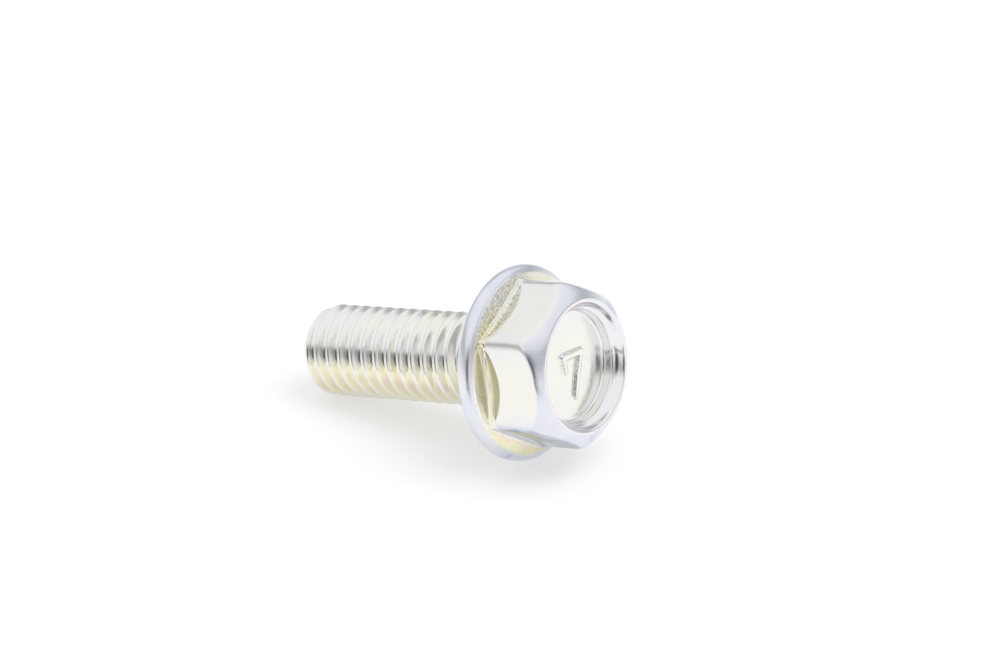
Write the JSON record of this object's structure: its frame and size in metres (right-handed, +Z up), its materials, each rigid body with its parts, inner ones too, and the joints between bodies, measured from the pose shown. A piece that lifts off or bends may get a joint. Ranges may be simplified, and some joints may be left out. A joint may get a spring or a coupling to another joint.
{
  "type": "flange bolt",
  "caption": "Hexagon flange bolt with a full metric thread, a chamfered end and a round recess in the head; lies on its flange rim and thread end.",
  "frame": {"origin": "centre of the bearing face under the flange", "axes": "+X runs along the bolt from thread end to head, seen from above; +Z is up; the bolt's own axis lies in the XZ plane and rises 11.8 degrees towards the head, as it rests"},
  "size_m": [0.0224, 0.0124, 0.0122],
  "materials": {
    "zinc": "zinc plated steel with a pale yellow, faintly iridescent passivation"
  },
  "bodies": {
    "root": {"flange_bolt": "zinc"}
  },
  "joints": []
}
